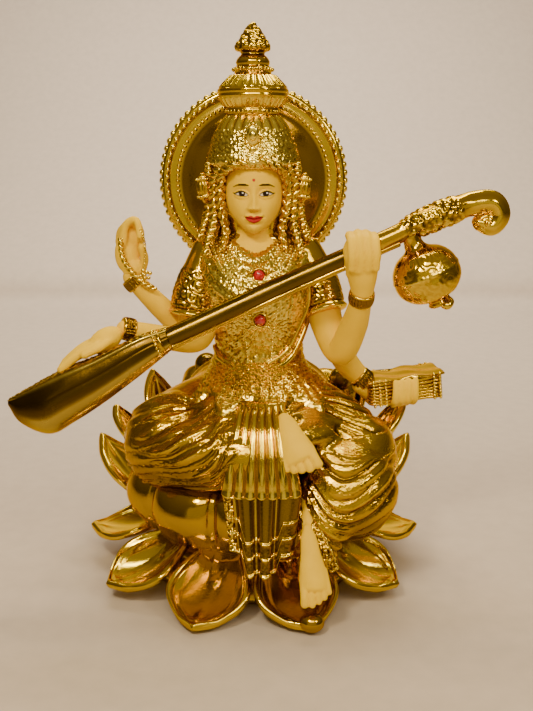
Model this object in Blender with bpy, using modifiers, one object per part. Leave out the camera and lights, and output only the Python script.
"""A four-armed goddess seated on a lotus and playing a veena, a gilded resin casting.

The frame has +Z up, the figure faces -Y and its centreline is X = 0. The origin is in the
middle of the flat underside. Places and sizes below are in millimetres.
"""
import math

import bmesh
import bpy
import numpy as np
from mathutils import Matrix, Vector
from mathutils.bvhtree import BVHTree

MM = 0.001
CONTACT_GAP = 0.3

# Lotus base
PETALS = 10
PETAL_PITCH = 2.0 * math.pi / PETALS
LOTUS_RADIUS = 98.0
FOOT_RADIUS = 64.0
SEAT_RADIUS = 66.0
SEAT_HEIGHT = 66.0
PETAL_THICKNESS = 3.0

# Halo, a disc that stands upright behind the head
HALO_RADIUS = 53.5
HALO_BACK = 28.0
HALO_HEIGHT = 222.0

# Head and crown
HEAD = (0.8, 0.0, 215.0)
HEAD_RADII = (16.5, 18.0, 20.0)
CROWN_HEIGHT = 305.0
CROWN_BACK = 8.0

# Chest stones
STONE_RADIUS = 3.2
STONE_DOME = 2.0
UPPER_STONE = (3.5, 174.0)
LOWER_STONE = (4.0, 150.5)

# Folds of the skirt
FOLD_RADIUS = 2.4
HANGING_FOLDS = 5
THIGH_FOLDS = 5
PLEATS = 6

# The casting's facets, after the united shapes are thinned out
CASTING_FACETS = 9400

GILT = ("gilt", (0.90, 0.60, 0.16, 1.0), 0.22, 1.0)
RED_GLASS = ("red_glass", (0.55, 0.01, 0.02, 1.0), 0.08, 0.0)


def clear_scene():
    for item in list(bpy.data.objects):
        bpy.data.objects.remove(item, do_unlink=True)


def new_collection(name, parent):
    made = bpy.data.collections.new(name)
    parent.children.link(made)
    return made


clear_scene()
MODEL = new_collection("saraswati_statue", bpy.context.scene.collection)
BLANKS = new_collection("casting_blanks", bpy.context.scene.collection)


def make_material(spec):
    name, colour, roughness, metallic = spec
    material = bpy.data.materials.new(name)
    material.use_nodes = True
    shader = material.node_tree.nodes["Principled BSDF"]
    shader.inputs["Base Color"].default_value = colour
    shader.inputs["Roughness"].default_value = roughness
    shader.inputs["Metallic"].default_value = metallic
    return material


def add_blank(name, mesh, matrix=None):
    """One shape of the casting, kept as a guide that the casting is united from."""
    item = bpy.data.objects.new(name, mesh)
    BLANKS.objects.link(item)
    item.display_type = "WIRE"
    item.hide_render = True
    if matrix is not None:
        item.matrix_world = matrix
    return item


def mesh_from(name, bm):
    bmesh.ops.recalc_face_normals(bm, faces=bm.faces)
    mesh = bpy.data.meshes.new(name)
    bm.to_mesh(mesh)
    bm.free()
    return mesh


def smooth_rows(rows, count):
    """Rows of numbers read at count even steps along a Catmull-Rom curve through them."""
    knots = np.array(rows, dtype=float)
    ends = np.vstack([2 * knots[0] - knots[1], knots, 2 * knots[-1] - knots[-2]])
    result = []
    for step in np.linspace(0.0, len(knots) - 1.0, count):
        index = min(int(step), len(knots) - 2)
        t = step - index
        a, b, c, d = ends[index:index + 4]
        result.append(0.5 * (2 * b + (c - a) * t + (2 * a - 5 * b + 4 * c - d) * t * t
                             + (3 * b - a - 3 * c + d) * t ** 3))
    return result


def rounded_ends(rows):
    """The same rows with a narrow row past each end, so that a tube closes as a dome."""
    first, second, last, before = (np.array(rows[i], dtype=float) for i in (0, 1, -1, -2))
    ends = []
    for end, inner in ((first, second), (last, before)):
        way = end[:3] - inner[:3]
        way /= np.linalg.norm(way)
        ends.append(np.append(end[:3] + way * end[3] * 0.75, end[3] * 0.5))
    return [ends[0]] + [np.array(row, dtype=float) for row in rows] + [ends[1]]


def tube(name, rows, count=7, sides=8):
    """A round limb through rows of (x, y, z, radius)."""
    stations = rounded_ends(smooth_rows(rows, count))
    curve = bpy.data.curves.new(name, "CURVE")
    curve.dimensions = "3D"
    curve.bevel_depth = MM
    curve.bevel_resolution = sides // 2 - 2
    curve.use_fill_caps = True
    curve.resolution_u = 1
    curve.render_resolution_u = 0
    spline = curve.splines.new("POLY")
    spline.points.add(len(stations) - 1)
    for knot, station in zip(spline.points, stations):
        knot.co = (*(station[:3] * MM), 1.0)
        knot.radius = station[3]
    holder = bpy.data.objects.new(name, curve)
    BLANKS.objects.link(holder)
    evaluated = holder.evaluated_get(bpy.context.evaluated_depsgraph_get())
    mesh = bpy.data.meshes.new_from_object(evaluated)
    bm = bmesh.new()
    bm.from_mesh(mesh)
    bmesh.ops.remove_doubles(bm, verts=bm.verts, dist=1e-6)
    bpy.data.objects.remove(holder, do_unlink=True)
    return add_blank(name, mesh_from(name, bm))


def ellipsoid(name, centre, radii, turn=(0.0, 0.0, 0.0), segments=14, rings=9):
    bm = bmesh.new()
    bmesh.ops.create_uvsphere(bm, u_segments=segments, v_segments=rings, radius=1.0)
    shape = Matrix.Diagonal((*(r * MM for r in radii), 1.0))
    spin = Matrix.Rotation(turn[2], 4, "Z") @ Matrix.Rotation(turn[1], 4, "Y") \
        @ Matrix.Rotation(turn[0], 4, "X")
    place = Matrix.Translation(Vector(centre) * MM)
    bmesh.ops.transform(bm, matrix=place @ spin @ shape, verts=bm.verts)
    return add_blank(name, mesh_from(name, bm))


def turned(name, profile, place, steps=20):
    """A turned shape: (radius, height) runs down its outer side, top to bottom."""
    mesh = bpy.data.meshes.new(name)
    points = [(radius * MM, 0.0, height * MM) for radius, height in profile]
    mesh.from_pydata(points, [(i, i + 1) for i in range(len(points) - 1)], [])
    item = add_blank(name, mesh, place)
    screw = item.modifiers.new("turn", "SCREW")
    screw.angle = 2.0 * math.pi
    screw.steps = steps
    screw.render_steps = steps
    screw.use_merge_vertices = True
    screw.merge_threshold = 1e-6
    return item


def upright(x, y, z=0.0):
    return Matrix.Translation(Vector((x, y, z)) * MM)


def facing_front(x, y, z):
    """Turns a lathe axis from +Z to -Y, towards the front."""
    return upright(x, y, z) @ Matrix.Rotation(math.pi / 2.0, 4, "X")


def loft(name, rings):
    """A closed skin over rings of points that go from one end to the other."""
    bm = bmesh.new()
    loops = [[bm.verts.new(Vector(p) * MM) for p in ring] for ring in rings]
    sides = len(loops[0])
    for low, high in zip(loops, loops[1:]):
        for i in range(sides):
            j = (i + 1) % sides
            bm.faces.new((low[i], low[j], high[j], high[i]))
    bm.faces.new(list(reversed(loops[0])))
    bm.faces.new(loops[-1])
    return add_blank(name, mesh_from(name, bm))


def oval(x, y, z, half_width, half_depth, sides=16):
    turn = 2.0 * math.pi / sides
    return [(x + half_width * math.cos(i * turn), y + half_depth * math.sin(i * turn), z)
            for i in range(sides)]


# ---------------------------------------------------------------- lotus base

def lotus_core():
    profile = [(0.0, SEAT_HEIGHT + 3.0), (SEAT_RADIUS - 14.0, SEAT_HEIGHT + 2.0),
               (SEAT_RADIUS, SEAT_HEIGHT - 4.0), (SEAT_RADIUS - 2.0, 44.0), (56.0, 28.0),
               (54.0, 16.0), (FOOT_RADIUS, 5.0), (FOOT_RADIUS, 0.0), (0.0, 0.0)]
    return turned("lotus_core", profile, upright(0.0, 0.0), steps=30)


def petal_half_width(t, widest):
    """Half the width of a petal, t of the way from its root to its tip."""
    shoulder = 0.52
    if t < shoulder:
        return widest * (0.55 + 0.45 * math.sin(0.5 * math.pi * t / shoulder))
    return widest * max(1.0 - ((t - shoulder) / (1.0 - shoulder)) ** 2.0, 0.05)


def petal(name, angle, midrib, widest, cup, rows=6, columns=4):
    """A cupped leaf along a midrib of (radius, height) points, turned about the lotus."""
    (r0, z0), (r1, z1), (r2, z2) = midrib
    bm = bmesh.new()
    bmesh.ops.create_grid(bm, x_segments=columns, y_segments=rows, size=1.0)
    for vert in bm.verts:
        across, t = vert.co.x, 0.5 * (vert.co.y + 1.0)
        reach = (1 - t) ** 2 * r0 + 2 * t * (1 - t) * r1 + t * t * r2
        rise = (1 - t) ** 2 * z0 + 2 * t * (1 - t) * z1 + t * t * z2
        slope = Vector(((1 - t) * (r1 - r0) + t * (r2 - r1), (1 - t) * (z1 - z0) + t * (z2 - z1)))
        slope.normalize()
        lift = cup * across * across * math.sin(math.pi * min(t + 0.15, 1.0))
        reach -= slope.y * lift
        rise += slope.x * lift
        vert.co = Vector((across * petal_half_width(t, widest), -reach, rise)) * MM
    bmesh.ops.rotate(bm, verts=bm.verts, matrix=Matrix.Rotation(angle, 3, "Z"))
    item = add_blank(name, mesh_from(name, bm))
    thick = item.modifiers.new("thickness", "SOLIDIFY")
    thick.thickness = PETAL_THICKNESS * MM
    thick.offset = 0.0
    return item


def lower_petals():
    """Petals that splay out flat in front and stand higher towards the back."""
    made = []
    for i in range(PETALS):
        angle = (i + 0.5) * PETAL_PITCH
        tip = 4.0 + 16.0 * (1.0 - math.cos(angle))
        midrib = ((50.0, 25.0), (72.0, 0.5 + 0.5 * tip), (LOTUS_RADIUS, tip))
        made.append(petal(f"lower_petal_{i}", angle, midrib, 23.0, 8.0))
    return made


def upper_petals():
    """Petals that stand up round the seat, lower and tighter where the skirt covers them."""
    made = []
    for i in range(PETALS):
        angle = i * PETAL_PITCH
        opening = 0.5 - 0.5 * math.cos(angle)
        spread = 1.0 if opening > 0.5 else 0.0
        midrib = ((56.0, 22.0), (70.0 + 14.0 * spread, 30.0 + 6.0 * spread),
                  (72.0 + 29.0 * spread, 58.0 + 9.0 * spread))
        made.append(petal(f"upper_petal_{i}", angle, midrib, 21.0, 7.0))
    return made


# ---------------------------------------------------------------- seated body

def skirt_masses():
    """The hips, both thighs and the shins under the cloth, without their folds."""
    return [
        ellipsoid("hips", (3, 6, 96), (44, 36, 30), segments=18),
        tube("bolster", [(-34, 38, 96, 13), (8, 46, 95, 15), (52, 38, 92, 13)], count=5, sides=10),
        tube("folded_leg", [(-8, 0, 104, 17), (-32, -16, 93, 21), (-49, -27, 81, 23.5),
                            (-30, -46, 80, 20), (-4, -58, 83, 16)], count=8, sides=12),
        tube("hanging_thigh", [(10, 0, 103, 17), (34, -18, 93, 21), (55, -32, 77, 24)],
             count=5, sides=12),
        ellipsoid("hanging_shin", (49, -48, 62), (29, 26, 28), segments=16),
        tube("hanging_hem", [(40, -62, 52, 16), (37, -70, 40, 10), (36, -76, 32, 6)],
             count=4, sides=10),
    ]


def torso():
    rings = [oval(3, 0, 104, 36, 30), oval(3, -1, 115, 30, 24), oval(3, -3, 124, 26, 20),
             oval(3.2, -4, 132, 24.6, 18.5), oval(3.5, -5, 142, 25.5, 19.5),
             oval(3.5, -6, 153, 28, 22), oval(3, -5, 164, 30.5, 23.5), oval(2.5, -2, 174, 32.5, 21),
             oval(2, 1, 183, 33, 16), oval(1.5, 2, 189, 27, 12.5), oval(1, 2, 193, 13, 10.5),
             oval(0.8, 1, 198, 9.4, 9.4), oval(0.8, 0, 206, 9.4, 9.4)]
    return [loft("torso", rings)]


def front_surface(items):
    """Finds the frontmost point of the given shapes at an (x, z) place, or None."""
    depsgraph = bpy.context.evaluated_depsgraph_get()
    trees = [BVHTree.FromObject(item, depsgraph) for item in items]

    def find(x, z):
        depths = []
        for tree in trees:
            hit = tree.ray_cast(Vector((x, -200.0, z)) * MM, Vector((0.0, 1.0, 0.0)))
            if hit[0] is not None:
                depths.append(hit[0].y / MM)
        return min(depths) if depths else None

    return find


def fold(name, find, outline, radius=FOLD_RADIUS, count=8):
    """A raised fold that follows an outline of (x, z) points over the body's front."""
    rows = []
    for x, z in smooth_rows(outline, count):
        depth = find(x, z)
        if depth is not None:
            rows.append((x, depth + 0.2 * radius, z, radius))
    narrow = [0.45 + 0.55 * math.sin(math.pi * i / (len(rows) - 1)) for i in range(len(rows))]
    rows = [(*row[:3], row[3] * factor) for row, factor in zip(rows, narrow)]
    return tube(name, rows, count=len(rows), sides=6)


def skirt_folds(body):
    find = front_surface(body)
    made = []
    for i in range(HANGING_FOLDS):
        outline = [(33 - 1.6 * i, 73 - 5.5 * i), (38 - 0.5 * i, 64 - 7 * i), (51, 59 - 7.2 * i),
                   (64, 66 - 8 * i), (72 - 1.5 * i, 78 - 9.5 * i)]
        made.append(fold(f"hanging_fold_{i}", find, outline))
    for i in range(THIGH_FOLDS):
        fan = i / (THIGH_FOLDS - 1)
        outline = [(16 + 3 * fan, 112 - 10 * fan), (32 + 2 * fan, 109 - 16 * fan),
                   (50 - 2 * fan, 103 - 21 * fan), (66 - 7 * fan, 93 - 22 * fan)]
        made.append(fold(f"right_thigh_fold_{i}", find, outline, count=6))
    for i in range(THIGH_FOLDS):
        fan = i / (THIGH_FOLDS - 1)
        outline = [(-9 - 3 * fan, 111 - 17 * fan), (-22 - 2 * fan, 107 - 23 * fan),
                   (-38 + 3 * fan, 101 - 28 * fan), (-56 + 6 * fan, 91 - 22 * fan)]
        made.append(fold(f"left_thigh_fold_{i}", find, outline, count=6))
    made.append(fold("folded_leg_hem", find, [(-68, 66), (-52, 66), (-34, 67), (-14, 70)], 3.0))
    return made


def pleat_panel(name, rows, depth, relief):
    """A panel of upright pleats through rows of (x, y, z, half width)."""
    columns = 2 * PLEATS
    bm = bmesh.new()
    bmesh.ops.create_grid(bm, x_segments=columns, y_segments=len(rows) - 1, size=1.0)
    back = bmesh.ops.extrude_face_region(bm, geom=list(bm.faces))
    back_verts = {item for item in back["geom"] if isinstance(item, bmesh.types.BMVert)}
    for vert in bm.verts:
        row = int(round(0.5 * (vert.co.y + 1.0) * (len(rows) - 1)))
        column = int(round(0.5 * (vert.co.x + 1.0) * columns))
        x, y, z, half_width = rows[row]
        ridge = relief if column % 2 else 0.0
        side = vert.co.x
        forward = depth if vert in back_verts else -ridge
        vert.co = Vector((x + half_width * side, y + 3.0 * side * side + forward, z)) * MM
    return add_blank(name, mesh_from(name, bm))


def pleats():
    upper = [(5, -77, 68, 20.5), (5, -75, 80, 19), (5, -69, 93, 16), (5, -60, 105, 13),
             (4, -44, 114, 10), (4, -28, 121, 8)]
    lower = [(7, -84, 29, 12.5), (6, -82, 40, 16), (5, -79, 52, 18.5), (5, -74, 68, 19.5)]
    return [pleat_panel("upper_pleats", upper, 16.0, 2.2),
            pleat_panel("lower_pleats", lower, 20.0, 2.0)]


def feet():
    """The foot that rests in the lap and the foot on the front petal, each with its toes."""
    made = [
        tube("lap_foot", [(13, -56, 106, 6.0), (20, -63, 99, 6.5), (27, -71, 89, 6.5)], count=4),
        tube("shin_to_petal", [(32, -70, 50, 6.5), (30, -80, 40, 7.0), (33, -88, 27, 7.5)], count=4),
        ellipsoid("toe_rest", (30, -88, 9), (9, 7, 8), segments=10, rings=6),
    ]
    for i in range(5):
        spread = i - 2.0
        made.append(tube(f"lap_toe_{i}", [(28 + 2.2 * spread, -73, 87 + 1.8 * spread, 1.9),
                                          (29.5 + 2.6 * spread, -76.5, 81 + 1.8 * spread, 1.7)],
                         count=2, sides=6))
        made.append(tube(f"petal_toe_{i}", [(34 + 2.6 * spread, -91, 24 + spread, 2.1),
                                            (34 + 2.9 * spread, -95, 18 + 1.2 * spread, 1.9)],
                         count=2, sides=6))
    return made


# ---------------------------------------------------------------- arms and hands

ARMS = {
    "raised_arm": [(-29, 3, 181, 11.5), (-33, 0, 166, 11.5), (-33, 0, 150, 9.5), (-38, 7, 136, 7.5),
                   (-53, 3, 150, 6.4), (-64, 0, 166, 5.0), (-67, 0, 174, 6.0)],
    "plucking_arm": [(-24, 0, 160, 8), (-27, -9, 142, 7.5), (-33, -18, 136, 7.2),
                     (-52, -25, 141, 6.2), (-70, -32, 145, 4.8)],
    "fretting_arm": [(30, 3, 182, 11), (37, -2, 166, 11.5), (40, -9, 148, 9.5), (48, -21, 132, 8),
                     (54, -32, 148, 7.2), (57, -42, 165, 5.4),
                     (56.5, -44, 178, 6.5)],
    "book_arm": [(38, 2, 150, 8), (48, 1, 130, 7.5), (54, -3, 120, 7), (63, -6, 112, 5.6)],
}
BANGLES = {"raised": ((-63, 0, 164), (0.0, -0.55, 0.0), 6.4),
           "plucking": ((-68, -31, 145), (0.0, -1.45, 0.35), 6.4),
           "fretting": ((56.5, -40.5, 162), (0.5, 0.15, 0.0), 7.0),
           "book": ((62, -5.5, 113), (0.0, 2.2, 0.0), 7.0)}


def bangle(name, place, turn, radius):
    spin = Matrix.Rotation(turn[2], 4, "Z") @ Matrix.Rotation(turn[1], 4, "Y") \
        @ Matrix.Rotation(turn[0], 4, "X")
    profile = [(0.0, 2.6), (radius, 2.6), (radius + 0.9, 0.0), (radius, -2.6), (0.0, -2.6)]
    return turned(name, profile, upright(*place) @ spin, steps=12)


def finger(name, *rows):
    return tube(name, list(rows), count=max(4, len(rows)), sides=6)


def hands():
    made = [
        # Raised hand, palm to the front with its fingers bent over the bead string.
        ellipsoid("raised_palm", (-69.5, -0.5, 183), (8.4, 5.0, 12.5), (0.0, -0.12, 0.0)),
        # Hand that lies along the top of the veena.
        ellipsoid("plucking_palm", (-79, -38, 140.5), (11, 6, 5.0), (0.0, 0.35, 0.45)),
        # Fist round the neck of the veena.
        ellipsoid("fretting_fist", (56, -44, 186.5), (10.4, 9.5, 13.0), (0.0, 0.2, 0.0)),
        # Palm behind the book.
        ellipsoid("book_palm", (77, -3, 103), (14, 7, 6.5), (0.0, 0.2, 0.0)),
    ]
    for i in range(4):
        made.append(finger(f"raised_finger_{i}",
                           (-75.5 + 3.7 * i, 0, 190, 2.6), (-74.5 + 3.6 * i, -2, 196.5 + 1.6 * i, 2.5),
                           (-72 + 2.8 * i, -6, 196 + 1.6 * i, 2.3), (-70 + 2.2 * i, -7, 190 + i, 2.1)))
        made.append(finger(f"plucking_finger_{i}",
                           (-84, -36 - 3.2 * i, 140 - 0.8 * i, 2.4),
                           (-91, -38 - 3.2 * i, 136.5 - 0.8 * i, 2.2),
                           (-98, -39.5 - 3.2 * i, 131 - 0.8 * i, 1.8)))
        made.append(finger(f"fretting_finger_{i}",
                           (48 + 4.9 * i, -51, 195 + 0.9 * i, 3.2),
                           (49 + 4.7 * i, -54.5, 188 + 1.3 * i, 3.1),
                           (50 + 4.5 * i, -52.5, 180.5 + 1.5 * i, 2.8)))
        made.append(finger(f"book_finger_{i}",
                           (78.5 + 4.4 * i, -9, 99 + 0.5 * i, 2.6),
                           (79 + 4.4 * i, -13.6, 104 + 0.5 * i, 2.5),
                           (79.4 + 4.4 * i, -12.6, 110 + 0.5 * i, 2.2)))
    made.append(finger("raised_thumb", (-62, -1, 176, 2.8), (-58.5, -4, 184, 2.5),
                       (-61, -7, 190, 2.0)))
    made.append(finger("plucking_thumb", (-74, -40, 143, 2.6), (-82, -45, 143, 2.4),
                       (-88, -48, 139, 2.0)))
    made.append(finger("fretting_thumb", (63, -46, 180, 3.0), (61, -53, 178.5, 2.8),
                       (55, -55, 179, 2.3)))
    return made


def arms():
    made = [tube(name, rows, count=11, sides=10) for name, rows in ARMS.items()]
    made += [bangle(f"{name}_bangle", *rest) for name, rest in BANGLES.items()]
    return made + hands()


# ---------------------------------------------------------------- veena, book, bead string

def veena_section(top, bottom, half_depth, y, sides=12):
    """An upright oval across the veena between its top and bottom points (x, z)."""
    centre = 0.5 * (np.array(top) + np.array(bottom))
    half = 0.5 * (np.array(top) - np.array(bottom))
    turn = 2.0 * math.pi / sides
    return [(centre[0] + half[0] * math.cos(i * turn), y + half_depth * math.sin(i * turn),
             centre[1] + half[1] * math.cos(i * turn)) for i in range(sides)]


def veena():
    hull = [((-127.5, 112), (-127.5, 109), 2.0, -50), ((-120, 116), (-121, 100), 8.0, -50),
            ((-109, 122), (-106, 94.5), 13.0, -50), ((-97, 128), (-93, 101), 13.5, -50),
            ((-79, 135.5), (-75, 113), 11.0, -50), ((-58, 145.5), (-54, 129), 8.0, -49),
            ((-44, 149.5), (-41, 139.5), 5.8, -47)]
    neck = [(-50, -48, 141.5, 5.2), (-27, -44.5, 151.5, 5.6), (6.5, -41, 166.8, 5.3),
            (40, -42, 182.3, 4.9), (73, -42, 197, 4.7)]
    scroll = [(66, -42, 194.5, 6.4), (82, -42, 202, 6.8), (98, -41, 208, 6.4),
              (112, -40, 213, 6.2), (122, -40, 213.5, 5.8), (126, -40, 207.5, 5.2),
              (122.5, -40, 202, 4.6), (118, -40, 204, 3.8)]
    lean = Matrix.Rotation(-0.42, 4, "Y")
    gourd = [(0.0, 25.0), (4.0, 23.0), (4.2, 15.0), (9.0, 12.5), (15.5, 7.0), (17.2, 0.0),
             (15.0, -7.0), (9.0, -11.5), (4.5, -13.0), (3.6, -16.0), (0.0, -17.0)]
    return [loft("veena_hull", [veena_section(*row) for row in hull]),
            tube("veena_neck", neck, count=9, sides=10),
            tube("veena_scroll", scroll, count=16, sides=8),
            turned("gourd", gourd, upright(90.5, -42.0, 176.5) @ lean, steps=18)]


def book():
    bm = bmesh.new()
    bmesh.ops.create_cube(bm, size=1.0)
    tilt = Matrix.Rotation(-0.12, 4, "Y")
    size = Matrix.Diagonal((49.0 * MM, 23.0 * MM, 12.0 * MM, 1.0))
    bmesh.ops.transform(bm, matrix=upright(84.5, 0.0, 107.0) @ tilt @ size, verts=bm.verts)
    leaf = petal("leaf_under_book", math.radians(93.0), ((66.0, 55.0), (84.0, 70.0), (88.0, 100.0)),
                 16.0, 5.0, rows=4)
    return [add_blank("palm_leaf_book", mesh_from("palm_leaf_book", bm)), leaf]


def bead_string():
    loop = [(-70.5, -6.5, 192, 1.5), (-70, -6.5, 183, 1.5), (-65, -7, 174, 1.5),
            (-59, -7, 167, 1.5), (-54, -5, 164.5, 1.5), (-55, -3.5, 172, 1.5),
            (-58, -4.5, 182, 1.5), (-60.5, -6.5, 190, 1.5)]
    return [tube("bead_string", loop, count=14, sides=6)]


# ---------------------------------------------------------------- head, crown and halo

def head():
    made = [ellipsoid("head", HEAD, HEAD_RADII, segments=16, rings=11),
            ellipsoid("jaw", (0.8, -6.0, 205.0), (11.5, 11.0, 10.0), segments=12, rings=8),
            ellipsoid("hair", (0.4, 3.5, 222.0), (23.0, 21.0, 17.0), segments=16),
            ellipsoid("nose", (0.8, -18.2, 213.0), (2.3, 2.6, 4.6), (0.25, 0.0, 0.0), 8, 6)]
    for side in (-1.0, 1.0):
        made.append(ellipsoid(f"ear_ornament_{side:+.0f}".replace("+", "right_").replace("-", "left_"),
                              (0.4 + 25.0 * side, -2.0, 217.0), (5.5, 5.5, 9.0), segments=10, rings=8))
        tress = [(0.5 + 22 * side, -2, 208, 4.5), (0.5 + 25 * side, -7, 197, 5.0),
                 (1.0 + 24 * side, -14, 186, 4.5), (1.5 + 20 * side, -20, 174, 3.2)]
        made.append(tube(f"tress_{'left' if side < 0 else 'right'}", tress, count=6, sides=8))
    return made


def crown():
    profile = [(0.0, 305.0), (3.4, 303.6), (7.4, 300.2), (9.2, 296.6), (8.0, 293.6), (5.2, 291.6),
               (6.8, 289.2), (5.6, 286.8), (8.8, 285.2), (10.3, 283.4), (9.3, 281.4),
               (13.2, 278.0), (17.6, 272.6), (19.4, 271.4), (19.4, 267.6), (17.8, 266.4),
               (14.6, 261.8), (14.2, 259.0), (18.5, 256.0), (23.0, 248.0), (25.8, 240.0),
               (25.4, 234.0), (22.0, 231.5), (0.0, 230.0)]
    return [turned("crown", profile, upright(0.2, CROWN_BACK - 5.0), steps=22)]


def halo():
    rim = HALO_RADIUS
    profile = [(0.0, 2.2), (rim - 12.0, 2.2), (rim - 11.0, 3.4), (rim - 8.6, 3.4), (rim - 7.6, 2.4),
               (rim - 5.2, 2.4), (rim - 3.6, 4.6), (rim - 1.0, 4.4), (rim, 2.0), (rim, -1.6),
               (rim - 2.0, -2.6), (0.0, -2.6)]
    stem = ellipsoid("halo_stem", (0.5, 16.0, 205.0), (14.0, 14.0, 22.0), segments=12)
    return [turned("halo_disc", profile, facing_front(0.0, HALO_BACK, HALO_HEIGHT), steps=44), stem]


# ---------------------------------------------------------------- chest stones

def stone_seat(find, place):
    """The y of a stone's flat back, and the round collet that it sits on."""
    x, z = place
    front = find(x, z) - 1.6
    profile = [(0.0, 0.0), (STONE_RADIUS + 1.0, 0.0), (STONE_RADIUS + 1.6, -1.0),
               (STONE_RADIUS + 1.6, -8.0), (0.0, -8.0)]
    collet = turned(f"collet_{int(z)}", profile, facing_front(x, front, z), steps=14)
    return front - CONTACT_GAP, collet


def stone(name, place, back, material):
    rows = 4
    profile = []
    for i in range(rows + 1):
        swing = 0.5 * math.pi * i / rows
        profile.append((STONE_RADIUS * math.sin(swing), 0.4 + STONE_DOME * math.cos(swing)))
    profile += [(STONE_RADIUS, 0.0), (0.0, 0.0)]
    item = turned(name, profile, facing_front(place[0], back, place[1]), steps=16)
    BLANKS.objects.unlink(item)
    MODEL.objects.link(item)
    item.display_type = "TEXTURED"
    item.hide_render = False
    item.data.materials.append(material)
    return item


# ---------------------------------------------------------------- the casting

def keep_outer_skin(mesh):
    """Triangulates a united mesh and drops the small closed voids inside it."""
    bm = bmesh.new()
    bm.from_mesh(mesh)
    bmesh.ops.triangulate(bm, faces=bm.faces)
    bmesh.ops.remove_doubles(bm, verts=bm.verts, dist=2e-5)
    bmesh.ops.dissolve_degenerate(bm, edges=bm.edges, dist=2e-5)
    bmesh.ops.triangulate(bm, faces=bm.faces)
    shells = []
    unseen = set(bm.verts)
    while unseen:
        shell, front = set(), [unseen.pop()]
        while front:
            vert = front.pop()
            shell.add(vert)
            for edge in vert.link_edges:
                other = edge.other_vert(vert)
                if other in unseen:
                    unseen.discard(other)
                    front.append(other)
        shells.append(shell)
    largest = max(shells, key=len)
    for shell in shells:
        if shell is not largest:
            bmesh.ops.delete(bm, geom=list(shell), context="VERTS")
    bm.to_mesh(mesh)
    bm.free()


def cast(material):
    body = skirt_masses() + torso()
    find_body = front_surface(body)
    upper_back, upper_collet = stone_seat(find_body, UPPER_STONE)
    lower_back, lower_collet = stone_seat(find_body, LOWER_STONE)
    core = lotus_core()
    lower_petals()
    upper_petals()
    skirt_folds(body)
    pleats()
    feet()
    arms()
    veena()
    book()
    bead_string()
    head()
    crown()
    halo()

    BLANKS.objects.unlink(core)
    MODEL.objects.link(core)
    union = core.modifiers.new("casting", "BOOLEAN")
    union.operation = "UNION"
    union.solver = "EXACT"
    union.operand_type = "COLLECTION"
    union.collection = BLANKS
    evaluated = core.evaluated_get(bpy.context.evaluated_depsgraph_get())
    united = bpy.data.meshes.new_from_object(evaluated)
    bpy.data.objects.remove(core, do_unlink=True)
    keep_outer_skin(united)
    statue = bpy.data.objects.new("statue", united)
    MODEL.objects.link(statue)
    united.materials.clear()
    united.materials.append(material)
    lighten = statue.modifiers.new("fewer_facets", "DECIMATE")
    lighten.ratio = CASTING_FACETS / len(united.polygons)
    return upper_back, lower_back


def build():
    gilt = make_material(GILT)
    red = make_material(RED_GLASS)
    upper_back, lower_back = cast(gilt)
    stone("upper_red_stone", UPPER_STONE, upper_back, red)
    stone("lower_red_stone", LOWER_STONE, lower_back, red)


build()
